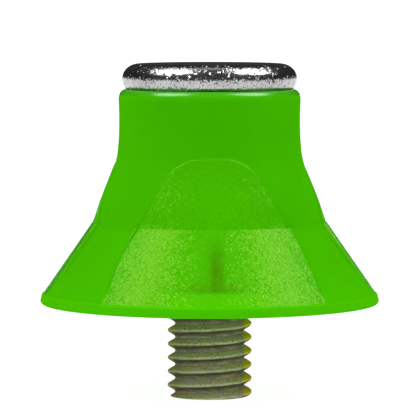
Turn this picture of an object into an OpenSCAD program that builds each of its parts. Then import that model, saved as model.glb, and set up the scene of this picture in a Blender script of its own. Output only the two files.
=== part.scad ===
// Screw-in boot stud: a moulded polymer body around a steel thread insert, with a steel wear tip.
// The stud stands on its seating face at z = 0, with the thread below it and the wear tip on top.
// Three raised key panels, 120 degrees apart, let a stud key turn it. One of them faces -Y.

/* [Body] */
// Height of the moulded body, from the seating face to the underside of the wear tip
body_h = 12.45; // [11.8:0.05:13]
// Radius of the body at its widest, near the seating face
rim_r = 9.86; // [9.5:0.01:10.2]
// Height of the plain land around the rim
rim_h = 0.58; // [0.4:0.01:0.8]
// Rounding of the rim's lower edge
rim_edge_r = 0.2; // [0.1:0.01:0.3]
// Height over which the rim land's top runs in to the skirt
land_run_h = 0.085; // [0.05:0.005:0.12]
// Radius of the neck at its waist
neck_r = 5.24; // [5.1:0.01:5.5]
// Height of the waist
waist_z = 10.47; // [10:0.01:11]
// Width of the rounding at the body's top edge
top_edge_w = 0.4; // [0.15:0.01:0.42]
// Height of the rounding at the body's top edge
top_edge_h = 0.55; // [0.3:0.05:0.6]

/* [Key panels] */
// Number of panels for the stud key
panel_count = 3; // [3]
// Height of the ledge that divides a panel's arch from its lower face
ledge_z = 4.73; // [4.65:0.01:4.9]
// Height of the arch's crown
arch_top_z = 8.66; // [8.4:0.01:9]
// Half the flat length at the arch's crown
arch_flat = 0.5; // [0.3:0.05:0.8]
// Radius of the arch's shoulders
arch_r = 2.8; // [2.6:0.05:3]
// Half the arch's width at the ledge
arch_half_w = 4.18; // [4:0.01:4.3]
// Half the lower face's width at the ledge
panel_half_w = 4.43; // [4.35:0.01:4.6]
// Half the lower face's width at its foot
panel_foot_half_w = 6.4; // [6:0.01:6.6]
// How far the arch stands proud at its crown
arch_lift_top = 0.06; // [0.04:0.01:0.1]
// How far the arch stands proud at the ledge
arch_lift_ledge = 0.24; // [0.2:0.01:0.32]
// Sideways offset of the arch surface, which leaves its right side prouder than its left
arch_shift = 0.02; // [0:0.01:0.25]
// Radius of the lower face just under the ledge
panel_r_ledge = 6.825; // [6.75:0.005:6.9]
// Growth of the lower face's radius per millimetre down
panel_slope = 0.694; // [0.66:0.002:0.696]
// Width of the sunken strip at the left border of each lower face
strip_w = 0.42; // [0.2:0.01:0.5]
// Length of the sunken strip down from the ledge
strip_h = 1.45; // [1:0.05:1.8]
// Depth of the sunken strip below the lower face
strip_drop = 0.2; // [0.1:0.01:0.22]

/* [Wear tip] */
// Radius of the flat top of the tip
tip_flat_r = 4.1; // [3.8:0.01:4.3]
// Radial width of the tip's rounded rim
tip_rim_w = 0.98; // [0.8:0.01:1]
// Height of the rounded rim above its widest line
tip_rim_up = 0.87; // [0.8:0.01:0.95]
// Height of the rounded rim below its widest line, before the flat underside cuts it
tip_rim_down = 0.95; // [0.9:0.01:1]
// Height of the tip's widest line above its underside
tip_widest = 0.63; // [0.5:0.01:0.7]
// Radius of the stem that anchors the tip
stem_r = 1.6; // [1.4:0.05:1.7]
// Length of the stem inside the body
stem_l = 3.55; // [3.35:0.05:4]
// Number of barbs on the stem
barb_count = 3; // [2:1:3]
// Radius of the barbs
barb_r = 2; // [1.8:0.05:2.2]
// Spacing of the barbs
barb_pitch = 1.0; // [0.9:0.05:1.05]

/* [Threaded post] */
// Major radius of the thread
thread_r = 2.47; // [2.4:0.01:2.5]
// Root radius of the thread
root_r = 2.01; // [1.98:0.01:2.06]
// Pitch of the thread
pitch = 0.8; // [0.8]
// Length of the thread below the seating face
thread_l = 5.4; // [4.5:0.1:7]
// Radius of the plain shank inside the body, clear of the thread's own radius
shank_r = 2.75; // [2.65:0.05:3]
// Height of the flange's underside
flange_z = 1.2; // [1:0.05:1.4]
// Radius of the flange
flange_r = 5.75; // [5.5:0.05:6]
// Thickness of the flange
flange_t = 0.55; // [0.5:0.05:0.8]
// Width of the hexagonal head across its flats
hex_af = 8; // [7:0.1:8]
// Height of the head's top
hex_top_z = 4.4; // [4:0.05:4.8]

/* [Hidden] */
$fn = 96;
eps = 0.01;
body_colour = [0.24, 0.71, 0];
tip_colour = [0.78, 0.79, 0.8];
post_colour = [0.62, 0.62, 0.46];

// The bell's outline: each flare begins at a height, adds a slope, and blends in over a width
flare_z = [8.55, 6, 4.65, 2.2];
flare_slope = [0.375, -0.14, 0.48, 0.2];
flare_blend = [0.6, 0.5, 0.15, 0.5];
waist_bow = 0.02;
waist_end_z = 9;
land_draft = 0.15;

// The key panels: lean of the arch's legs, how far the sunken strip reaches in past the border,
// and how far a lower face runs down behind the rim land
leg_lean = 26;
strip_inset = 0.7 * strip_w;
foot_z = rim_h - 0.05;

// The stem's barbs: height of the lowest, and the tapered share of the pitch
barb_foot = 0.3;
barb_taper = 0.6;

// How finely the curved outlines are drawn
bell_steps = 26;
edge_steps = 6;
edge_start = 15;
arc_steps = 8;
arch_steps = 10;

// The thread's profile: 60 degrees between its flanks, with a flat crest and a flat root
flank_angle = 30;
crest_w = pitch / 8;
cut_r = thread_r + 5 * eps;
cut_mouth = pitch - crest_w + 2 * (cut_r - thread_r) * tan(flank_angle);
root_w = pitch - crest_w - 2 * (thread_r - root_r) * tan(flank_angle);
groove_count = floor((thread_l - crest_w / 2) / pitch);

// A hinge that turns from 0 to d smoothly, over about w
function soft(d, w) = (d + sqrt(d * d + w * w)) / 2;

// Radius of the smooth body at height z
function waist(z) = neck_r + waist_bow * pow(max(z, waist_end_z) - waist_z, 2);
function flare(i, z) = flare_slope[i] * soft(flare_z[i] - z, flare_blend[i]);
function bell_r(z) = waist(z) + flare(0, z) + flare(1, z) + flare(2, z) + flare(3, z);

// Radius of the arch and of the lower face of a key panel at height z
function arch_lift(z) = arch_lift_top
    + (arch_lift_ledge - arch_lift_top) * pow((arch_top_z - z) / (arch_top_z - ledge_z), 2);
function arch_surface_r(z) = bell_r(z) + arch_lift(z);
function panel_surface_r(z) = panel_r_ledge + panel_slope * (ledge_z - z);

function spaced(a, b, n) = [for (i = [0:n]) a + (b - a) * i / n];

// The smooth, round body, solid
module bell() {
    edge_z = body_h - top_edge_h;
    edge_r = bell_r(edge_z);
    skirt_z = rim_h + land_run_h;
    rim_edge = [for (a = spaced(-90, 0, edge_steps))
        [rim_r - rim_edge_r + rim_edge_r * cos(a), rim_edge_r + rim_edge_r * sin(a)]];
    land = [[rim_r - rim_h * land_draft, rim_h]];
    wall = [for (z = spaced(skirt_z, edge_z, bell_steps)) [bell_r(z), z]];
    top_edge = [for (a = spaced(edge_start, 90, edge_steps))
        [edge_r - top_edge_w + top_edge_w * cos(a), edge_z + top_edge_h * sin(a)]];
    rotate_extrude() polygon(concat([[0, 0]], rim_edge, land, wall, top_edge, [[0, body_h]]));
}

// An outline in the plane of a panel, extruded outward from the axis towards -Y
module outline_prism(points) {
    rotate([90, 0, 0]) linear_extrude(rim_r + 1) polygon(points);
}

// A solid of revolution whose radius at height z is radii[i]
module turned(radii, heights) {
    last = len(heights) - 1;
    rotate_extrude() polygon(concat(
        [[0, heights[0]]],
        [for (i = [0:last]) [radii[i], heights[i]]],
        [[0, heights[last]]]));
}

// The upper half of a key panel: a round-shouldered arch that grows prouder towards the ledge
module panel_arch() {
    arc_z = arch_top_z - arch_r;
    leg_w = arch_half_w - arch_flat - arch_r * cos(leg_lean);
    lean = atan(leg_w / (arc_z + arch_r * sin(leg_lean) - ledge_z));
    right = [for (a = spaced(lean, 90, arc_steps)) [arch_flat + arch_r * cos(a), arc_z + arch_r * sin(a)]];
    left = [for (i = [arc_steps:-1:0]) [-right[i][0], right[i][1]]];
    heights = spaced(ledge_z - eps, arch_top_z + eps, arch_steps);
    intersection() {
        outline_prism(concat([[arch_half_w, ledge_z]], right, left, [[-arch_half_w, ledge_z]]));
        translate([arch_shift, 0, 0]) turned([for (z = heights) arch_surface_r(z)], heights);
    }
}

// The lower half of a key panel: a proud conical face between two straight borders
module panel_face() {
    left_w = panel_half_w - strip_inset;
    strip_z = ledge_z - strip_h;
    strip_u = panel_half_w + (panel_foot_half_w - panel_half_w) * strip_h / (ledge_z - foot_z);
    heights = [foot_z - eps, ledge_z];
    intersection() {
        outline_prism([[panel_half_w, ledge_z], [-left_w, ledge_z], [-strip_u, strip_z],
            [-panel_foot_half_w, foot_z], [panel_foot_half_w, foot_z]]);
        turned([for (z = heights) panel_surface_r(z)], heights);
    }
    intersection() {
        outline_prism([[-left_w + eps, ledge_z], [-left_w - strip_w, ledge_z], [-strip_u, strip_z]]);
        turned([for (z = heights) panel_surface_r(z) - strip_drop], heights);
    }
}

// The tip's stem, with barbs that hold it in the polymer
module stem() {
    translate([0, 0, body_h - stem_l]) cylinder(r = stem_r, h = stem_l);
    for (i = [0:barb_count - 1])
        translate([0, 0, body_h - stem_l + barb_foot + i * barb_pitch])
            cylinder(r1 = stem_r, r2 = barb_r, h = barb_pitch * barb_taper);
}

// The part of the threaded post that the polymer grips: shank, flange and hexagonal head
module post_head() {
    cylinder(r = shank_r, h = flange_z + flange_t / 2);
    translate([0, 0, flange_z]) cylinder(r = flange_r, h = flange_t);
    translate([0, 0, flange_z]) rotate([0, 0, 30])
        cylinder(r = hex_af / 2 / cos(30), h = hex_top_z - flange_z, $fn = 6);
}

// The thread: full crests at its lower end and a plain run-out at the seating face, with a
// V-shaped ring groove at each pitch between them
module thread() {
    difference() {
        translate([0, 0, -thread_l]) cylinder(r = thread_r, h = thread_l);
        for (i = [0:groove_count - 1])
            translate([0, 0, -thread_l + crest_w / 2 + (i + 0.5) * pitch])
                rotate_extrude() polygon([
                    [root_r, -root_w / 2], [cut_r, -cut_mouth / 2],
                    [cut_r, cut_mouth / 2], [root_r, root_w / 2]]);
    }
}

module stud_body() color(body_colour) difference() {
    union() {
        bell();
        for (i = [0:panel_count - 1]) rotate([0, 0, i * 360 / panel_count]) {
            panel_arch();
            panel_face();
        }
    }
    stem();
    post_head();
}

module wear_tip() color(tip_colour) {
    widest_z = body_h + tip_widest;
    low_angle = -asin(tip_widest / tip_rim_down);
    lower = [for (a = spaced(low_angle, 0, edge_steps))
        [tip_flat_r + tip_rim_w * cos(a), widest_z + tip_rim_down * sin(a)]];
    upper = [for (a = spaced(0, 90, 2 * edge_steps))
        [tip_flat_r + tip_rim_w * cos(a), widest_z + tip_rim_up * sin(a)]];
    rotate_extrude() polygon(concat([[0, body_h]], lower, upper, [[0, widest_z + tip_rim_up]]));
    stem();
}

module threaded_post() color(post_colour) {
    thread();
    post_head();
}

stud_body();
wear_tip();
threaded_post();
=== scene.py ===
# Screw-in boot stud: a moulded green polymer body on a steel thread insert, with a plated wear tip.
# Each CAD node is replaced by one finer mesh in the same place and at the same size. The thread,
# a row of ring grooves in the CAD, is a true right-hand helix here.
import math

import bpy
import numpy as np
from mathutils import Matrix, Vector


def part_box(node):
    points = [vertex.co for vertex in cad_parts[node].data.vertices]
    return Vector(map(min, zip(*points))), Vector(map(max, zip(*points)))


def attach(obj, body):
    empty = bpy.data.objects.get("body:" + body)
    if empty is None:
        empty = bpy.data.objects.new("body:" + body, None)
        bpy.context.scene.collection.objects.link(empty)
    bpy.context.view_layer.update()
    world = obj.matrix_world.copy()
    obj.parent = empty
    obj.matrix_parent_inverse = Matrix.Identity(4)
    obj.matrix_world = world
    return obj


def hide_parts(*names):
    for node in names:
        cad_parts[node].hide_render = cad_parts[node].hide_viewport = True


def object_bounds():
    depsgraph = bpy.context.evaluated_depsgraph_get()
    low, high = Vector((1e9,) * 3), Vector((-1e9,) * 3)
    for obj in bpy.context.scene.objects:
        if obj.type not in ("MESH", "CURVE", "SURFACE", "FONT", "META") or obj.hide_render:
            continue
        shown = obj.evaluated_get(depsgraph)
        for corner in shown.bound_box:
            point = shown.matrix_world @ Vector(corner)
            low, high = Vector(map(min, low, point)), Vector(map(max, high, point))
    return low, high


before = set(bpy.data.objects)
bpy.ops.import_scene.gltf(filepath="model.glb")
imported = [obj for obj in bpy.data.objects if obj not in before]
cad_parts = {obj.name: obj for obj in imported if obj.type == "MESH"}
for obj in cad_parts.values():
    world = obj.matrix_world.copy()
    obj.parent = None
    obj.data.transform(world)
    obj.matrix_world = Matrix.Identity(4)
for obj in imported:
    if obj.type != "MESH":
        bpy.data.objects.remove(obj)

CAD_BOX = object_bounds()
MM = 0.001

# ---- Sizes, in millimetres, as in the CAD frame ----------------------------------------------

SEAT_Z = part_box("stud_body")[0][2] / MM
BODY_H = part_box("stud_body")[1][2] / MM
RIM_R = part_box("stud_body")[1][0] / MM
TIP_TOP_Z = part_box("wear_tip")[1][2] / MM
STEM_END_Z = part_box("wear_tip")[0][2] / MM
THREAD_END_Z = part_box("threaded_post")[0][2] / MM
HEX_TOP_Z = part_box("threaded_post")[1][2] / MM
FLANGE_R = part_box("threaded_post")[1][0] / MM

# The body's outline: a land round the rim, a flared skirt and a waisted neck
RIM_H, RIM_EDGE_R = 0.58, 0.2
LAND_DRAFT = 0.15  # how far the land leans in, per millimetre up
LAND_RUN_H = 0.085  # height over which the land's top runs in to the skirt
LAND_RUN_INSET, LAND_RUN_DIP = 0.004, 0.1  # the run's start inside the land, and its dip, as a share
NECK_R, WAIST_Z, WAIST_BOW, WAIST_END_Z = 5.24, 10.47, 0.02, 9.0
FLARES = (  # height where each flare begins, the slope it adds, the height it blends in over
    (8.55, 0.375, 0.6),
    (6.0, -0.14, 0.5),
    (4.65, 0.48, 0.15),
    (2.2, 0.2, 0.5),
)
TOP_EDGE_W, TOP_EDGE_H = 0.4, 0.55

# The key panels: an arch above the ledge, and a wider lower face under it
PANELS = 3
PANEL_TURN = math.radians(-90)  # the first panel's middle
LEDGE_Z, ARCH_TOP_Z = 4.73, 8.66
ARCH_FLAT, ARCH_R, ARCH_HALF_W = 0.5, 2.8, 4.18
ARCH_CENTRE_Z = ARCH_TOP_Z - ARCH_R
LEG_LEAN = math.radians(26)  # the turn at which a round shoulder runs into its straight leg
SHOULDER_U = ARCH_FLAT + ARCH_R * math.cos(LEG_LEAN)
SHOULDER_Z = ARCH_CENTRE_Z + ARCH_R * math.sin(LEG_LEAN)
ARCH_LIFT_TOP, ARCH_LIFT_LEDGE = 0.06, 0.24  # how proud the arch stands at its top and at the ledge
ARCH_SHIFT = 0.02  # sideways offset of the arch surface, which leaves its right side prouder
PANEL_HALF_W, PANEL_FOOT_HALF_W = 4.43, 6.4
PANEL_R_LEDGE, PANEL_SLOPE = 6.825, 0.694
STRIP_W, STRIP_H, STRIP_DROP = 0.42, 1.45, 0.2  # the sunken strip at a lower face's left border
STRIP_INNER, STRIP_OUTER = -0.7, 0.3  # its sides from the border at the ledge, in strip widths
BORDER_W = 0.16  # width over which a panel's border slopes down to the smooth body
GROOVE_DEPTH, GROOVE_HALF_W = 0.1, 0.055  # the fine groove between the strip and the lower face
GROOVE_FULL = 0.8  # the groove has its full depth down to this share of the strip

# The wear tip and its barbed stem
TIP_FLAT_R, TIP_RIM_W, TIP_RIM_UP, TIP_RIM_DOWN, TIP_WIDEST = 4.1, 0.98, 0.87, 0.95, 0.63
STEM_R, BARB_R, BARB_PITCH, BARBS = 1.6, 2.0, 1.0, 3
BARB_FOOT = 0.3  # height of the lowest barb above the stem's end
BARB_TAPER, BARB_LIP = 0.6, 0.02  # the tapered share of the pitch, and the height of a barb's edge

# The threaded post, with its crests and roots rounded off
THREAD_R, ROOT_R, PITCH = 2.47, 2.01, 0.8
CREST_Z = -0.38  # a crest's height on the +X side
CREST_HALF_W, THREAD_ROUNDING = 0.075, 0.05
FLANK_ANGLE = math.radians(30)
FLANK_START = PITCH / 8  # from a crest's middle, the distance at which it counts as all flank
RUN_OUT = (0.05, 0.55)  # depths below the seat between which the thread reaches its full cut
SHANK_R, FLANGE_Z, FLANGE_T = 2.75, 1.2, 0.55
HEX_AF = 8.0
HEX_CHAMFER_H, HEX_CHAMFER_OUT = 0.25, 0.05  # the chamfer's height, and its top's radius past a flat

# ---- How finely the meshes are made ------------------------------------------------------------

COLUMNS = 144  # round the tip and the post
ROWS_PER_TURN = 28  # up the thread
SECTOR_COLUMNS = (11, 16, 34, 16, 11)  # beside, left border, across, right border, beside a panel
RELAXED_HALF = math.radians(34)  # half the turn that the panel's columns cover up the neck
RELAX_FROM, RELAX_TO = -0.1, 2.2  # heights from the arch's top between which they spread out
LEDGE_BLEND = 0.5  # height over which the columns shift between the arch and the lower face
LEDGE_HALF_H, LEDGE_BELOW, LEDGE_ABOVE = 0.03, 0.1, 0.14  # the bands of close rings at the ledge
ARCH_CLEAR, SHOULDERS_H = 0.15, 1.5  # the band of close rings at the arch's shoulders
WALL_ROWS = (60, 5, 7, 5, 40, 44, 28)  # rings in each band up the wall
LAND_SHARES, RUN_SHARES = (0.35, 0.7, 0.94), (0.08, 0.45, 0.8)  # rings up the land and its run-in
UNDERSIDE_STOPS = 8  # rings across the seating face, its two edges counted
UNDER_TIP_RADII = (4.6, 3.6, 2.6)  # rings on the body's flat top
TIP_FLAT_RADII, TIP_FOOT_RADII = (0.5, 1.5, 2.6, 3.5), (4.4, 3.4, 2.4)  # rings on the tip's flats
RIM_EDGE_STEPS, TOP_EDGE_STEPS, TIP_UP_STEPS, TIP_DOWN_STEPS = 7, 12, 26, 12  # points round each
SHARP_ANGLE, POST_SHARP_ANGLE = 32, 40  # degrees, past which an edge is shaded sharp

# ---- Looks that vary over the body -------------------------------------------------------------

# How much of the shader's specular level each part of the surface gets
SMOOTH_GLOSS, GRAIN_GLOSS, ARCH_GLOSS, EDGE_GLOSS = 0.0, 0.24, 0.17, 0.5
EDGE_GLOSS_FROM, EDGE_GLOSS_TO, EDGE_GLOW_FROM = 0.4, 0.65, 0.6  # shares of the top edge's height
LAND_GLOW = 0.8  # how far light through the polymer brightens the rim and the top
# The shadow of the post's head: a streak over its corner, and a fainter band over its flange
SHADOW_U = 0.12  # the corner's streak sits a little to the right of each panel's middle
SHADOW_FOOT_Z, SHADOW_EDGE_H = 1.36, 0.06
CORNER_HALF_W, CORNER_CLEAR_Z, CORNER_DARK_Z = 0.4, 4.8, 2.6
FLANGE_SHADOW, FLANGE_CLEAR_U, FLANGE_DARK_U = 0.45, 2.6, 0.6
FLANGE_CLEAR_H, FLANGE_DARK_H = 0.85, 0.25  # heights above the shadow's foot
# The brighter patch under that shadow
GLOW_CLEAR_U, GLOW_FULL_U, GLOW_EDGE_H = 3.6, 1.8, 0.08


# ---- Shape functions --------------------------------------------------------------------------

def soft(d, w):
    """A hinge that turns from 0 to d smoothly, over about w."""
    return (d + np.sqrt(d * d + w * w)) / 2


def smoothstep(a, b, x):
    """0 at a and beyond, 1 at b and beyond, smooth between. Either of them may be the lower."""
    t = np.clip((x - a) / (b - a), 0, 1)
    return t * t * (3 - 2 * t)


def spaced(stops, counts):
    """Values from the first stop to just short of the last, with so many in each stretch."""
    stretches = zip(stops[:-1], stops[1:], counts)
    return np.concatenate([np.linspace(a, b, n, endpoint=False) for a, b, n in stretches])


def bell_r(z):
    """Radius of the smooth body at height z."""
    r = NECK_R + WAIST_BOW * (np.maximum(z, WAIST_END_Z) - WAIST_Z) ** 2
    for height, slope, blend in FLARES:
        r = r + slope * soft(height - z, blend)
    return r


def arch_lift(z):
    """How far the arch stands proud of the smooth body at height z."""
    down = (ARCH_TOP_Z - z) / (ARCH_TOP_Z - LEDGE_Z)
    return ARCH_LIFT_TOP + (ARCH_LIFT_LEDGE - ARCH_LIFT_TOP) * down**2


def face_r(z):
    """Radius of a key panel's lower face at height z."""
    return PANEL_R_LEDGE + PANEL_SLOPE * (LEDGE_Z - z)


def arch_half_w(z):
    """Half the arch's width at height z: straight legs that run into round shoulders."""
    leg = SHOULDER_U + (ARCH_HALF_W - SHOULDER_U) * (SHOULDER_Z - z) / (SHOULDER_Z - LEDGE_Z)
    rise = np.clip((z - ARCH_CENTRE_Z) / ARCH_R, -1, 1)
    round_part = ARCH_FLAT + ARCH_R * np.sqrt(1 - rise**2)
    return np.where(z < SHOULDER_Z, leg, round_part)


def arch_distance(u, z):
    """Signed distance into the arch's outline, in its plane: positive inside."""
    side = np.abs(u)
    round_part = ARCH_R - np.hypot(np.maximum(side - ARCH_FLAT, 0), z - ARCH_CENTRE_Z)
    leg_slope = (ARCH_HALF_W - SHOULDER_U) / (SHOULDER_Z - LEDGE_Z)
    leg = (arch_half_w(np.minimum(z, SHOULDER_Z)) - side) / math.hypot(1, leg_slope)
    on_shoulder = (z - ARCH_CENTRE_Z) > math.tan(LEG_LEAN) * (side - ARCH_FLAT)
    return np.where(on_shoulder, round_part, leg)


def face_half_w(z):
    """Half the lower face's width at height z."""
    return PANEL_HALF_W + (PANEL_FOOT_HALF_W - PANEL_HALF_W) * (LEDGE_Z - z) / (LEDGE_Z - RIM_H)


def strip_side_w(z, shift):
    """Distance from the panel's middle to a side of the strip, which meets the border at its foot."""
    top = PANEL_HALF_W + shift * STRIP_W
    foot = face_half_w(LEDGE_Z - STRIP_H)
    side = top + (foot - top) * (LEDGE_Z - z) / STRIP_H
    return np.where(z > LEDGE_Z - STRIP_H, side, face_half_w(z))


def hex_r(angles):
    """Radius of the hexagonal head, which has a corner under the middle of each key panel."""
    from_corner = np.mod(angles - PANEL_TURN, math.radians(60)) - math.radians(30)
    return HEX_AF / 2 / np.cos(from_corner)


# ---- Mesh building ----------------------------------------------------------------------------

def make_object(name, points, faces, sharp_angle):
    """A smooth-shaded mesh from points in millimetres, with sharp edges where it turns sharply."""
    mesh = bpy.data.meshes.new(name)
    mesh.from_pydata((points * MM).tolist(), [], faces)
    mesh.validate()
    mesh.polygons.foreach_set("use_smooth", np.ones(len(mesh.polygons), bool))
    mesh.set_sharp_from_angle(angle=math.radians(sharp_angle))
    mesh.update()
    piece = bpy.data.objects.new(name, mesh)
    bpy.context.scene.collection.objects.link(piece)
    return piece


def add_looks(piece, looks):
    """Stores each named list of values on the mesh's points, for the material to read."""
    for name, values in looks.items():
        attribute = piece.data.attributes.new(name, "FLOAT", "POINT")
        attribute.data.foreach_set("value", values.astype(np.float32))


def bands(rows, after):
    """Quads between each row of point numbers and the next; after holds each point's neighbour."""
    return np.stack([rows[:-1], after[:-1], after[1:], rows[1:]], axis=-1).reshape(-1, 4).tolist()


def tidy_faces(quads):
    """Quads with repeated corners become triangles, or go."""
    faces = []
    for quad in quads:
        corners = [v for i, v in enumerate(quad) if v != quad[i - 1]]
        if len(set(corners)) >= 3:
            faces.append(corners)
    return faces


def closed_loft(name, rings):
    """A closed skin through rings of points (rows, columns, xyz), with a pole at each end."""
    rows, columns, _ = rings.shape
    points = rings.reshape(-1, 3)
    ids = np.arange(rows * columns).reshape(rows, columns)
    after = np.roll(ids, -1, axis=1)
    first_pole, last_pole = len(points), len(points) + 1
    poles = np.array([rings[0].mean(axis=0), rings[-1].mean(axis=0)])
    caps = [[first_pole, b, a] for a, b in zip(ids[0], after[0])]
    caps += [[last_pole, a, b] for a, b in zip(ids[-1], after[-1])]
    return make_object(name, np.vstack([points, poles]), bands(ids, after) + caps, SHARP_ANGLE)


def ring(radii, angles, z):
    """Points at these radii and angles, at one height or one height each."""
    radii = radii + np.zeros_like(angles)
    heights = z + np.zeros_like(angles)
    return np.stack([radii * np.cos(angles), radii * np.sin(angles), heights], axis=-1)


def arc_points(centre, size, start, end, count):
    """Points (r, z) along part of an ellipse, angles in degrees."""
    a = np.radians(np.linspace(start, end, count))
    return [(centre[0] + size[0] * c, centre[1] + size[1] * s) for c, s in zip(np.cos(a), np.sin(a))]


def stem_profile():
    """(r, z) down the barbed stem, from the wear tip's underside to the stem's end."""
    points = [(STEM_R, BODY_H)]
    for i in reversed(range(BARBS)):
        foot = STEM_END_Z + BARB_FOOT + i * BARB_PITCH
        top = foot + BARB_TAPER * BARB_PITCH
        points += [(STEM_R, top + BARB_LIP), (BARB_R, top), (STEM_R, foot)]
    return points + [(STEM_R, STEM_END_Z)]


def head_rings(angles):
    """Rings up the part of the post that the polymer grips: shank, flange and hexagonal head."""
    flange_top = FLANGE_Z + FLANGE_T
    rounds = [(SHANK_R, SEAT_Z), (SHANK_R, FLANGE_Z), (FLANGE_R, FLANGE_Z), (FLANGE_R, flange_top)]
    rings = [ring(r, angles, z) for r, z in rounds]
    return rings + [ring(hex_r(angles), angles, z) for z in (flange_top, HEX_TOP_Z)]


# ---- The moulded body -------------------------------------------------------------------------

def sector_columns(z):
    """Angles across one 120 degree sector at height z, crowded along the key panel's borders."""
    half = math.radians(180 / PANELS)
    r = float(bell_r(z)) + ARCH_LIFT_LEDGE / 2
    margin = BORDER_W / r
    relax = float(smoothstep(ARCH_TOP_Z + RELAX_FROM, ARCH_TOP_Z + RELAX_TO, z))

    # Near the ledge, the columns above it shift out to the lower face's borders
    near_ledge = float(smoothstep(LEDGE_BLEND, 0, abs(z - LEDGE_Z)))
    follow = near_ledge if z > LEDGE_Z else 1.0
    face_z, arch_z = min(z, LEDGE_Z), max(min(z, ARCH_TOP_Z), LEDGE_Z)
    arch_u = float(arch_half_w(arch_z))
    left_out_u = arch_u + (float(strip_side_w(face_z, STRIP_OUTER)) - arch_u) * follow
    left_in_u = arch_u + (float(strip_side_w(face_z, STRIP_INNER)) - arch_u) * follow
    right_out_u = arch_u + (float(face_half_w(face_z)) - arch_u) * follow
    right_in_u = right_out_u - (PANEL_HALF_W - ARCH_HALF_W) * near_ledge

    def angle(u):
        return math.asin(u / r) * (1 - relax) + RELAXED_HALF * relax

    stops = [-half, -angle(left_out_u) - margin, -angle(left_in_u) + margin,
             angle(right_in_u) - margin, angle(right_out_u) + margin, half]
    return spaced(stops, SECTOR_COLUMNS)


def all_sectors(sector):
    """A sector's angles repeated for every panel, in order round the axis."""
    turn = math.radians(360 / PANELS)
    return np.concatenate([PANEL_TURN + i * turn + sector for i in range(PANELS)])


def panel_surface(theta, z):
    """Radius of the body at angle theta from a panel's middle and height z, and its grain, 0 to 1."""
    smooth = bell_r(z) + np.zeros_like(theta)
    u = (smooth + 0.5 * ARCH_LIFT_LEDGE) * np.sin(theta)
    edge = BORDER_W / 2
    if z > LEDGE_Z:
        inside = arch_distance(u, z)
        proud = arch_lift(z) + ARCH_SHIFT * np.sin(theta)
        r = smooth + smoothstep(-edge, edge, inside) * proud
        return r, smoothstep(-edge / 2, edge / 2, inside)

    lean = math.cos(math.atan(PANEL_SLOPE))
    left_in = (u + strip_side_w(z, STRIP_INNER)) * lean
    left_out = (u + strip_side_w(z, STRIP_OUTER)) * lean
    right = (face_half_w(z) - u) * lean
    face = smoothstep(-edge, edge, left_in) * smoothstep(-edge, edge, right)
    face_and_strip = smoothstep(-edge, edge, left_out) * smoothstep(-edge, edge, right)
    proud = face_r(z) - smooth
    r = smooth + face * proud + (face_and_strip - face) * (proud - STRIP_DROP)

    beside_strip = smoothstep(LEDGE_Z - STRIP_H, LEDGE_Z - GROOVE_FULL * STRIP_H, z)
    groove = np.exp(-(((left_in + edge) / GROOVE_HALF_W) ** 2)) * beside_strip
    grain = smoothstep(-edge / 2, edge / 2, np.minimum(left_out, right)) * (1 - groove)
    return r - GROOVE_DEPTH * groove, grain


def wall_heights():
    """Heights of the rings up the wall, crowded at the ledge and around the arch's shoulders."""
    low, high, arch_end = LEDGE_Z - LEDGE_HALF_H, LEDGE_Z + LEDGE_HALF_H, ARCH_TOP_Z + ARCH_CLEAR
    stops = (RIM_H + LAND_RUN_H, low - LEDGE_BELOW, low, high, high + LEDGE_ABOVE,
             arch_end - SHOULDERS_H, arch_end, BODY_H - TOP_EDGE_H)
    return spaced(stops, WALL_ROWS)


def insert_shadow(theta, r, z):
    """How far the post's head darkens the polymer in front of it, 0 to 1."""
    u = r * np.sin(theta) - SHADOW_U
    corner = np.exp(-((u / CORNER_HALF_W) ** 2)) * smoothstep(CORNER_CLEAR_Z, CORNER_DARK_Z, z)
    flange = smoothstep(FLANGE_CLEAR_U, FLANGE_DARK_U, np.abs(u))
    flange = flange * smoothstep(SHADOW_FOOT_Z + FLANGE_CLEAR_H, SHADOW_FOOT_Z + FLANGE_DARK_H, z)
    above_foot = smoothstep(SHADOW_FOOT_Z, SHADOW_FOOT_Z + SHADOW_EDGE_H, z)
    return np.maximum(corner, FLANGE_SHADOW * flange) * above_foot


def insert_glow(theta, r, z):
    """How far light from below brightens the polymer under the post's flange, 0 to 1."""
    across = smoothstep(GLOW_CLEAR_U, GLOW_FULL_U, np.abs(r * np.sin(theta)))
    return across * smoothstep(SHADOW_FOOT_Z, SHADOW_FOOT_Z - GLOW_EDGE_H, z)


class Skin:
    """The body's rings, from its cavity to its top, with how each ring's points look."""

    def __init__(self):
        self.rings = []
        self.looks = {"grain": [], "gloss": [], "shade": [], "glow": []}

    def add(self, points, grain=0.0, gloss=SMOOTH_GLOSS, shade=0.0, glow=0.0):
        self.rings.append(points)
        for name, value in (("grain", grain), ("gloss", gloss), ("shade", shade), ("glow", glow)):
            self.looks[name].append(value + np.zeros(len(points)))

    def finish(self, name):
        piece = closed_loft(name, np.array(self.rings))
        at_poles = [0, 0]
        add_looks(piece, {look: np.append(np.concatenate(values), at_poles)
                          for look, values in self.looks.items()})
        return piece


def add_underside(skin, angles):
    """The cavity round the post's head, then the seating face."""
    for points in reversed(head_rings(angles)):
        skin.add(points)
    for r in np.linspace(SHANK_R, RIM_R - RIM_EDGE_R, UNDERSIDE_STOPS)[1:-1]:
        skin.add(ring(r, angles, SEAT_Z))


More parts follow.
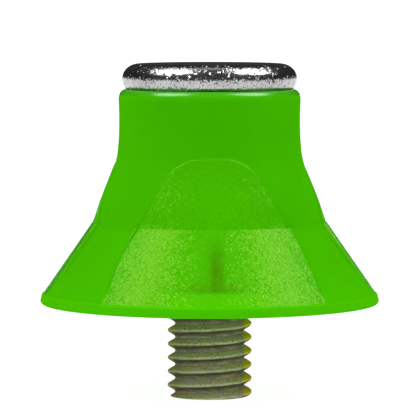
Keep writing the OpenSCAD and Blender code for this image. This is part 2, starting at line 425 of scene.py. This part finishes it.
def add_rim(skin, angles, foot_r):
    """The rim's rounded lower edge, its land, and the land's run in to the skirt at foot_r."""
    centre, size = (RIM_R - RIM_EDGE_R, RIM_EDGE_R), (RIM_EDGE_R, RIM_EDGE_R)
    for r, z in arc_points(centre, size, -90, 0, RIM_EDGE_STEPS):
        skin.add(ring(r, angles, z), glow=LAND_GLOW)
    land_top_r = RIM_R - RIM_H * LAND_DRAFT
    for share in LAND_SHARES:
        r = RIM_R + (land_top_r - RIM_R) * share
        skin.add(ring(r, angles, RIM_EDGE_R + (RIM_H - RIM_EDGE_R) * share), glow=LAND_GLOW)
    for share in RUN_SHARES:
        r = land_top_r - LAND_RUN_INSET + (foot_r - land_top_r) * share
        skin.add(ring(r, angles, RIM_H + LAND_RUN_H * (share - LAND_RUN_DIP)), glow=LAND_GLOW)


def add_wall(skin):
    """The skirt, key panels and neck."""
    for z in wall_heights():
        sector = sector_columns(z)
        r, grain = panel_surface(sector, z)
        panel_gloss = ARCH_GLOSS if z > LEDGE_Z else GRAIN_GLOSS
        gloss = SMOOTH_GLOSS + (panel_gloss - SMOOTH_GLOSS) * grain
        values = (grain, gloss, insert_shadow(sector, r, z), insert_glow(sector, r, z))
        skin.add(ring(np.tile(r, PANELS), all_sectors(sector), z), *(np.tile(v, PANELS) for v in values))


def add_top(skin):
    """The glossy top edge, the flat under the wear tip, and the socket of its stem."""
    edge_z = BODY_H - TOP_EDGE_H
    edge_r = float(bell_r(edge_z))
    angles = all_sectors(sector_columns(edge_z))
    gloss_from, gloss_to = edge_z + EDGE_GLOSS_FROM * TOP_EDGE_H, edge_z + EDGE_GLOSS_TO * TOP_EDGE_H
    glow_from = edge_z + EDGE_GLOW_FROM * TOP_EDGE_H
    centre, size = (edge_r - TOP_EDGE_W, edge_z), (TOP_EDGE_W, TOP_EDGE_H)
    for r, z in arc_points(centre, size, 0, 90, TOP_EDGE_STEPS):
        gloss = SMOOTH_GLOSS + (EDGE_GLOSS - SMOOTH_GLOSS) * smoothstep(gloss_from, gloss_to, z)
        skin.add(ring(r, angles, z), gloss=gloss, glow=LAND_GLOW * smoothstep(glow_from, BODY_H, z))
    for r in UNDER_TIP_RADII:
        skin.add(ring(r, angles, BODY_H), glow=LAND_GLOW)
    for r, z in stem_profile():
        skin.add(ring(r, angles, z))


def make_body():
    skin = Skin()
    foot_z = RIM_H + LAND_RUN_H
    foot_sector = sector_columns(foot_z)
    foot_angles = all_sectors(foot_sector)
    foot_r, _ = panel_surface(foot_sector, foot_z)
    add_underside(skin, foot_angles)
    add_rim(skin, foot_angles, np.tile(foot_r, PANELS))
    add_wall(skin)
    add_top(skin)
    return skin.finish("moulded_body")


# ---- The wear tip -----------------------------------------------------------------------------

def make_tip():
    centre = (TIP_FLAT_R, BODY_H + TIP_WIDEST)
    foot_turn = -math.degrees(math.asin(TIP_WIDEST / TIP_RIM_DOWN))
    profile = [(r, TIP_TOP_Z) for r in TIP_FLAT_RADII]
    profile += arc_points(centre, (TIP_RIM_W, TIP_RIM_UP), 90, 0, TIP_UP_STEPS)
    profile += arc_points(centre, (TIP_RIM_W, TIP_RIM_DOWN), 0, foot_turn, TIP_DOWN_STEPS)[1:]
    profile += [(r, BODY_H) for r in TIP_FOOT_RADII]
    profile += stem_profile()
    angles = np.linspace(0, 2 * math.pi, COLUMNS, endpoint=False)
    # The rings run from the top down, so their angles run backwards to keep the faces outward
    return closed_loft("plated_wear_tip", np.array([ring(r, -angles, z) for r, z in profile]))


# ---- The threaded post ------------------------------------------------------------------------

def thread_surface(angles, z):
    """The thread's radius, its height from root (0) to crest (1), and its flank: +1 up, -1 down."""
    crest = CREST_Z + PITCH * angles / (2 * math.pi)
    offset = (np.mod((z - crest) / PITCH + 0.5, 1) - 0.5) * PITCH
    fall = soft(np.abs(offset) - CREST_HALF_W, THREAD_ROUNDING) / math.tan(FLANK_ANGLE)
    depth = THREAD_R - ROOT_R
    cut = np.maximum(depth - soft(depth - fall, THREAD_ROUNDING), 0) * smoothstep(*RUN_OUT, -z)
    return THREAD_R - cut, 1 - cut / depth, np.clip(offset / FLANK_START, -1, 1)


def thread_grid(angles):
    """Heights and point numbers of the thread's grid, whose rows climb one pitch per turn.

    Each column's points past an end of the thread share the number of the point on that end.
    """
    turns = (SEAT_Z - THREAD_END_Z) / PITCH + 2
    rows = int(math.ceil(turns * ROWS_PER_TURN)) + 1
    row = np.arange(rows)[:, None]
    step = PITCH / ROWS_PER_TURN
    z = THREAD_END_Z - PITCH + row * step + PITCH * angles / (2 * math.pi)
    free = (z > THREAD_END_Z + step / 4) & (z < SEAT_Z - step / 4)
    nearer_end = np.where(z < SEAT_Z / 2 + THREAD_END_Z / 2, THREAD_END_Z, SEAT_Z)
    first = free.argmax(axis=0) - 1
    last = rows - free[::-1].argmax(axis=0)
    ids = np.clip(row, first, last) * COLUMNS + np.arange(COLUMNS)
    return np.where(free, z, nearer_end), ids


def thread_faces(ids):
    """Faces of the thread's wall: between columns, then over the seam, one turn up."""
    quads = bands(ids[:, :-1], ids[:, 1:])
    seam, start = ids[:-ROWS_PER_TURN, -1], ids[ROWS_PER_TURN:, 0]
    return tidy_faces(quads + bands(seam, start))


def post_head(angles):
    """Rings of the post's head, with its top corners chamfered."""
    rings = head_rings(angles)[:-1]
    rings.append(ring(hex_r(angles), angles, HEX_TOP_Z - HEX_CHAMFER_H))
    top_r = np.minimum(hex_r(angles), HEX_AF / 2 + HEX_CHAMFER_OUT)
    rings.append(ring(top_r, angles, HEX_TOP_Z))
    return np.array(rings)


def make_post():
    angles = np.linspace(0, 2 * math.pi, COLUMNS, endpoint=False)
    z, ids = thread_grid(angles)
    r, crest, flank = thread_surface(angles, z)
    wall = np.stack([r * np.cos(angles), r * np.sin(angles), z], axis=-1).reshape(-1, 3)
    head = post_head(angles)

    bottom_pole = len(wall)
    head_ids = bottom_pole + 1 + np.arange(head.shape[0] * COLUMNS).reshape(-1, COLUMNS)
    top_pole = int(head_ids[-1, -1]) + 1
    rows = np.vstack([ids[-1], head_ids])
    after = np.roll(rows, -1, axis=1)
    faces = thread_faces(ids) + bands(rows, after)
    faces += [[bottom_pole, b, a] for a, b in zip(ids[0], np.roll(ids[0], -1))]
    faces += [[top_pole, a, b] for a, b in zip(rows[-1], after[-1])]
    points = np.vstack([wall, [[0, 0, THREAD_END_Z]], head.reshape(-1, 3), [[0, 0, HEX_TOP_Z]]])

    # The grid's points past the thread's ends belong to no face, so they are left out
    used = np.unique(np.concatenate([np.ravel(face) for face in faces]))
    number = np.zeros(len(points), int)
    number[used] = np.arange(len(used))
    faces = [[int(number[v]) for v in face] for face in faces]
    piece = make_object("zinc_plated_post", points[used], faces, POST_SHARP_ANGLE)
    others = np.zeros(len(points) - len(wall))
    add_looks(piece, {"crest": np.append(crest.ravel(), others + 0.5)[used],
                      "flank": np.append(flank.ravel(), others)[used]})
    return piece


# ---- Materials --------------------------------------------------------------------------------

class Nodes:
    """A short way to build a material's node tree."""

    def __init__(self, name):
        self.material = bpy.data.materials.new(name)
        self.material.use_nodes = True
        self.tree = self.material.node_tree
        self.shader = self.tree.nodes["Principled BSDF"]

    def add(self, kind, values=(), **settings):
        made = self.tree.nodes.new(kind)
        for key, value in settings.items():
            setattr(made, key, value)
        for key, value in dict(values).items():
            if isinstance(value, bpy.types.NodeSocket):
                self.tree.links.new(value, made.inputs[key])
            else:
                made.inputs[key].default_value = value
        return made

    def place(self):
        return self.add("ShaderNodeTexCoord").outputs["Object"]

    def noise(self, vector, size_mm, detail=2.0, rough=0.5):
        made = self.add("ShaderNodeTexNoise", {"Vector": vector, "Scale": 1 / (size_mm * MM),
                                               "Detail": detail, "Roughness": rough})
        return made.outputs["Fac"]

    def spread(self, value, low, high, to_low=0.0, to_high=1.0):
        made = self.add("ShaderNodeMapRange", {"Value": value, "From Min": low, "From Max": high,
                                               "To Min": to_low, "To Max": to_high})
        return made.outputs["Result"]

    def maths(self, operation, a, b):
        return self.add("ShaderNodeMath", {0: a, 1: b}, operation=operation).outputs[0]

    def times(self, a, b):
        return self.maths("MULTIPLY", a, b)

    def vector(self, operation, a, b):
        return self.add("ShaderNodeVectorMath", {0: a, 1: b}, operation=operation).outputs[0]

    def mix(self, factor, a, b):
        """Colour a where the factor is 0 and b where it is 1. Each is a socket or (r, g, b)."""
        a, b = (c if isinstance(c, bpy.types.NodeSocket) else (*c, 1) for c in (a, b))
        made = self.add("ShaderNodeMix", {"Factor": factor, 6: a, 7: b}, data_type="RGBA")
        return made.outputs[2]

    def attribute(self, name):
        return self.add("ShaderNodeAttribute", attribute_name=name).outputs["Fac"]

    def bump(self, height, depth_mm, strength, under=None):
        values = {"Height": height, "Distance": depth_mm * MM, "Strength": strength}
        if under is not None:
            values["Normal"] = under
        return self.add("ShaderNodeBump", values).outputs["Normal"]

    def facets(self, vector, size_mm, tilt):
        """The surface normal, tipped at random in each small cell, as a sparkling grain does."""
        cells = self.add("ShaderNodeTexVoronoi", {"Vector": vector, "Scale": 1 / (size_mm * MM)})
        centred = self.vector("SUBTRACT", cells.outputs["Color"], (0.5, 0.5, 0.5))
        tipped = self.add("ShaderNodeVectorMath", {0: centred, "Scale": tilt}, operation="SCALE")
        normal = self.add("ShaderNodeNewGeometry").outputs["Normal"]
        total = self.vector("ADD", normal, tipped.outputs[0])
        return self.add("ShaderNodeVectorMath", {0: total}, operation="NORMALIZE").outputs[0]

    def finish(self, linked, plain):
        """Links what varies over the surface, and sets what doesn't on the shader's own sockets."""
        for key, value in linked.items():
            self.tree.links.new(value, self.shader.inputs[key])
        for key, value in plain.items():
            self.shader.inputs[key].default_value = value
        return self.material


def polymer():
    """Translucent green moulding: it sparkles where it is grained and shines on its top edge only."""
    deep, pale = (0.040, 0.350, 0.0), (0.044, 0.366, 0.0)
    glowing, shaded = (0.054, 0.415, 0.0), (0.040, 0.205, 0.0)
    white, yellow = (1.0, 1.0, 1.0), (1.0, 1.0, 0.0)
    grain_size, grain_tilt, grain_roughness = 0.075, 0.3, 0.06

    n = Nodes("green_polymer")
    place = n.place()
    grain = n.attribute("grain")
    cloud = n.noise(place, 3.5, 2.0)
    colour = n.mix(n.spread(cloud, 0.3, 0.7), deep, pale)
    colour = n.mix(n.attribute("glow"), colour, glowing)
    colour = n.mix(n.attribute("shade"), colour, shaded)
    roughness = n.maths("ADD", n.times(grain, grain_roughness), n.spread(cloud, 0.2, 0.8, 0.17, 0.21))
    normal = n.facets(place, grain_size, n.times(grain, grain_tilt))
    tint = n.mix(n.spread(grain, 0.0, 0.1), white, yellow)
    return n.finish(
        {"Base Color": colour, "Roughness": roughness, "Normal": normal,
         "Specular IOR Level": n.attribute("gloss"), "Specular Tint": tint},
        {"IOR": 1.5, "Subsurface Weight": 0.3,
         "Subsurface Radius": (0.35, 1.0, 0.15), "Subsurface Scale": 1.0 * MM})


def bright_plating():
    """Bright nickel over tumbled steel: its reflections break up into specks, with dark pits."""
    clean, tarnished, pitted = (0.5, 0.5, 0.505), (0.4, 0.4, 0.395), (0.09, 0.09, 0.09)
    pit_size, tarnish_size, speck_size, cluster_size = 0.08, 0.9, 0.085, 0.25
    least_tilt, most_tilt = 0.06, 0.9

    n = Nodes("plated_tip")
    place = n.place()
    pits = n.noise(place, pit_size, 2.0, 0.6)
    tarnish = n.noise(place, tarnish_size, 3.0, 0.65)
    colour = n.mix(n.spread(tarnish, 0.35, 0.7), clean, tarnished)
    colour = n.mix(n.spread(pits, 0.46, 0.34), colour, pitted)
    clusters = n.spread(n.noise(place, cluster_size, 2.0, 0.6), 0.5, 0.66, least_tilt, most_tilt)
    normal = n.facets(place, speck_size, clusters)
    return n.finish({"Base Color": colour, "Normal": normal}, {"Metallic": 1.0, "Roughness": 0.2})


def zinc_colour_and_shading(n, place, crest, flank, streak, speck):
    """Colour of passivated zinc, grey to olive and yellow at +X, with painted shade on the lower flanks,
    in the roots, under the crests and at the left and right sides, and a painted highlight along the
    crests.
    """
    # The up colours are painted light on the upper flanks and the down colours painted shade on the lower
    # flanks. in_root, under_crest, side_shade and under_side are painted shade, and on_crest is a painted
    # highlight. The streak and speck colours are the zinc's own.
    up_grey, up_yellow = (0.60, 0.52, 0.42), (0.64, 0.53, 0.24)
    down_grey, down_olive = (0.10, 0.14, 0.075), (0.13, 0.15, 0.045)
    in_root, in_streak, in_speck = (0.12, 0.13, 0.07), (0.5, 0.48, 0.3), (0.08, 0.08, 0.05)
    under_crest, side_shade, on_crest = (0.03, 0.033, 0.01), (0.03, 0.035, 0.012), (0.5, 0.5, 0.3)
    left_side, right_side, under_side = (0.62, 0.42, 0.2), (0.95, 0.6, 0.008), (0.05, 0.05, 0.012)

    patch = n.noise(place, 0.8, 3.0, 0.6)
    patches = n.spread(patch, 0.4, 0.6)
    # The patches are the zinc's own uneven tone. The upper flanks get painted light and the lower flanks
    # painted shade.
    upper = n.mix(patches, up_grey, up_yellow)
    lower = n.mix(patches, down_grey, down_olive)
    film_and_shading = n.mix(n.spread(flank, -0.3, 0.3), lower, upper)
    # Painted shade in the thread's roots.
    film_and_shading = n.mix(n.spread(crest, 0.3, 0.0, 0.0, 0.8), film_and_shading, in_root)
    film_and_shading = n.mix(n.spread(streak, 0.42, 0.68, 0.0, 0.6), film_and_shading, in_streak)
    film_and_shading = n.mix(n.spread(speck, 0.48, 0.3, 0.0, 0.85), film_and_shading, in_speck)
    # Painted shade on the lower flanks just under the crests.
    crest_shadow = n.times(n.spread(flank, 0.1, -0.6), n.spread(crest, 0.15, 0.6))
    film_and_shading = n.mix(n.times(crest_shadow, 0.85), film_and_shading, under_crest)

    # The post's left and right sides, with a noisy edge. Painted shade darkens them, most on the lower
    # flanks, and the crest ends there turn brown to the left and yellow to the right, with painted shade
    # on their lower flanks.
    across = n.add("ShaderNodeSeparateXYZ", {"Vector": place}).outputs[0]
    unevenness = n.times(n.maths("SUBTRACT", patch, 0.5), 0.5 * MM)
    sides = n.maths("ADD", n.maths("ABSOLUTE", across, 0), unevenness)
    shade = n.times(n.spread(sides, 1.5 * MM, 2.1 * MM), n.spread(flank, 0.4, -0.4, 0.1, 0.9))
    film_and_shading = n.mix(shade, film_and_shading, side_shade)
    side_colour_and_shade = n.mix(n.spread(across, -0.5 * MM, 0.5 * MM), left_side, right_side)
    side_colour_and_shade = n.mix(n.spread(flank, 0.2, -0.3), side_colour_and_shade, under_side)
    on_side = n.times(n.spread(sides, 1.85 * MM, 2.0 * MM), n.spread(crest, 0.0, 0.4, 0.2, 0.92))
    film_and_shading = n.mix(on_side, film_and_shading, side_colour_and_shade)

    # Painted highlight along each crest's lower edge, fainter towards the post's sides and off the
    # streaks.
    crest_highlight = n.times(n.spread(crest, 0.9, 0.99), n.spread(flank, 0.5, -0.2))
    crest_highlight = n.times(crest_highlight, n.spread(sides, 2.0 * MM, 1.7 * MM, 0.15, 1.0))
    crest_highlight = n.times(crest_highlight, n.spread(streak, 0.35, 0.6, 0.15, 0.9))
    return n.mix(crest_highlight, film_and_shading, on_crest)


def zinc_plating():
    """Dull zinc plate over a rolled thread, streaked round the post and speckled."""
    n = Nodes("zinc_post")
    place = n.place()
    drawn = n.add("ShaderNodeMapping", {"Vector": place, "Scale": (0.22, 0.22, 1.6)}).outputs[0]
    streak = n.noise(drawn, 0.16, 3.0, 0.65)
    speck = n.noise(place, 0.11, 2.0)
    film_and_shading = zinc_colour_and_shading(n, place, n.attribute("crest"), n.attribute("flank"), streak, speck)
    roughness = n.spread(speck, 0.3, 0.7, 0.4, 0.6)
    normal = n.bump(speck, 0.015, 0.8, n.bump(streak, 0.03, 0.6))
    return n.finish({"Base Color": film_and_shading, "Roughness": roughness, "Normal": normal},
                    {"Metallic": 0.25, "Specular IOR Level": 0.15})


# ---- Studio -----------------------------------------------------------------------------------

CAMERA_TURN = math.radians(-1.9)
CAMERA_DISTANCE, CAMERA_HEIGHT = 200 * MM, 18.7 * MM
CAMERA_LENS = 298
AIM = (-0.093 * MM, 0, 5.54 * MM)
SOFTBOXES = (  # name, turn from the camera side, rise, spread (all degrees), strength
    ("left", -78, 56, 36, 1.95),
    ("right", 84, 56, 36, 1.9),
    ("high_left", -122, 63, 28, 0.35),
    ("high_right", 126, 63, 28, 0.35),
    ("back", 180, 70, 22, 0.06),
    ("front", 0, 15, 150, 0.15),
)
FILL = ("fill", 0, 10, 100, 2.1)  # lights the front without showing in the polished tip
WORLD_GLOW = 0.025
FLOOR_GLOW, FLOOR_GREY = 0.95, 0.2
FLOOR_R, FLOOR_SIDES = 8.0, 64  # metres, so that its far edge lies above the view


def look_along(direction):
    """The turn that points a camera or a light along this direction."""
    return Vector(direction).to_track_quat("-Z", "Y").to_euler()


def make_camera():
    data = bpy.data.cameras.new("camera")
    data.lens = CAMERA_LENS
    data.clip_start = 0.01
    data.clip_end = 50
    camera = bpy.data.objects.new("camera", data)
    bpy.context.scene.collection.objects.link(camera)
    camera.location = (CAMERA_DISTANCE * math.sin(CAMERA_TURN),
                       -CAMERA_DISTANCE * math.cos(CAMERA_TURN), CAMERA_HEIGHT)
    camera.rotation_euler = look_along([a - b for a, b in zip(AIM, camera.location)])
    bpy.context.scene.camera = camera


def make_lights():
    for name, turn, rise, spread, strength in (*SOFTBOXES, FILL):
        data = bpy.data.lights.new("softbox_" + name, "SUN")
        data.energy = strength
        data.angle = math.radians(spread)
        light = bpy.data.objects.new("softbox_" + name, data)
        bpy.context.scene.collection.objects.link(light)
        side, up = math.radians(turn), math.radians(rise)
        source = (math.cos(up) * math.sin(side), -math.cos(up) * math.cos(side), math.sin(up))
        light.rotation_euler = look_along([-c for c in source])
        light.visible_glossy = name != FILL[0]
    world = bpy.data.worlds.new("studio")
    world.use_nodes = True
    background = world.node_tree.nodes["Background"].inputs
    background["Color"].default_value = (1, 1, 1, 1)
    background["Strength"].default_value = WORLD_GLOW
    bpy.context.scene.world = world


def make_floor():
    """A glowing white table that runs out past the top of the view."""
    corners = np.linspace(0, 2 * math.pi, FLOOR_SIDES, endpoint=False)
    points = ring(FLOOR_R, corners, CAD_BOX[0][2])
    mesh = bpy.data.meshes.new("floor")
    mesh.from_pydata(points.tolist(), [], [list(range(FLOOR_SIDES))])
    floor = bpy.data.objects.new("floor", mesh)
    bpy.context.scene.collection.objects.link(floor)
    n = Nodes("floor")
    mesh.materials.append(n.finish({}, {
        "Base Color": (FLOOR_GREY, FLOOR_GREY, FLOOR_GREY, 1), "Roughness": 1.0,
        "Specular IOR Level": 0.0, "Emission Color": (1, 1, 1, 1), "Emission Strength": FLOOR_GLOW}))


# ---- Assembly ---------------------------------------------------------------------------------

def dress(piece, node, material):
    piece.data.materials.append(material)
    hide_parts(node)
    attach(piece, "root")


make_camera()
make_lights()
make_floor()
dress(make_body(), "stud_body", polymer())
dress(make_tip(), "wear_tip", bright_plating())
dress(make_post(), "threaded_post", zinc_plating())
bpy.context.scene.view_settings.view_transform = "Standard"
